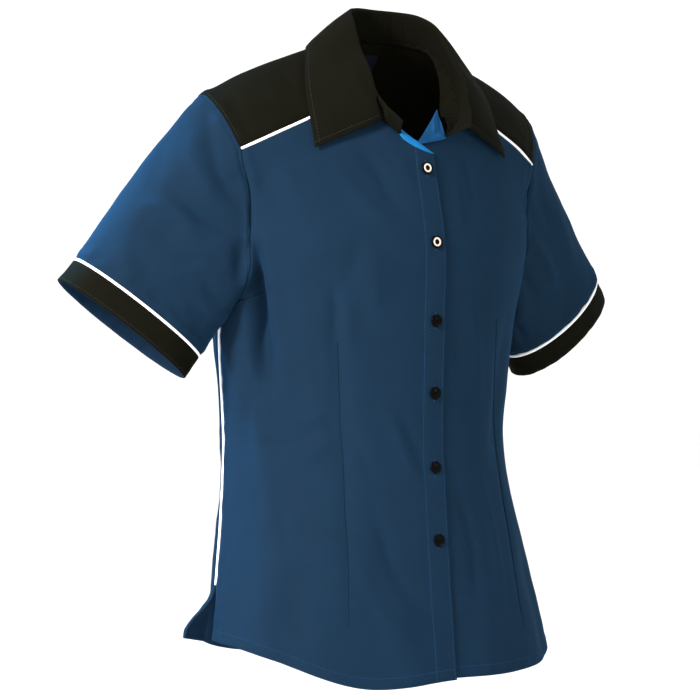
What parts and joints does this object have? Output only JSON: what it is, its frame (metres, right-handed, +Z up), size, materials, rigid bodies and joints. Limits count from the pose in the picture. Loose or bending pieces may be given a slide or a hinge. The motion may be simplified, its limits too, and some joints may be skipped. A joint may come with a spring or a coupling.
{
  "type": "short-sleeved racing pit shirt",
  "caption": "Hollow short-sleeved buttoned shirt with a pointed collar, a contrast yoke and sleeve bands, and piped seams, filled out with no wearer.",
  "frame": {"origin": "middle of the neck opening, level with the sides of the neck", "axes": "+Z up to the wearer's head, -Y to the front with the buttons, +X to the wearer's left"},
  "size_m": [0.6802, 0.2578, 0.6811],
  "materials": {
    "blue_cloth": "matt twill",
    "black_cloth": "matt twill",
    "navy_cloth": "matt",
    "white_piping": "matt",
    "black_button": "gloss"
  },
  "bodies": {
    "root": {"front_right": "blue_cloth", "front_left": "blue_cloth", "back": "blue_cloth", "yoke": "black_cloth", "collar_stand": "black_cloth", "collar_leaf": "black_cloth", "sleeve_right": "blue_cloth", "sleeve_left": "blue_cloth", "cuff_right": "black_cloth", "cuff_left": "black_cloth", "label": "navy_cloth", "piping_yoke_left": "white_piping", "piping_yoke_right": "white_piping", "piping_sleeve_left": "white_piping", "piping_sleeve_right": "white_piping", "piping_side_left": "white_piping", "piping_side_right": "white_piping", "button_1": "black_button", "button_2": "black_button", "button_3": "black_button", "button_4": "black_button", "button_5": "black_button", "button_6": "black_button"}
  },
  "joints": []
}
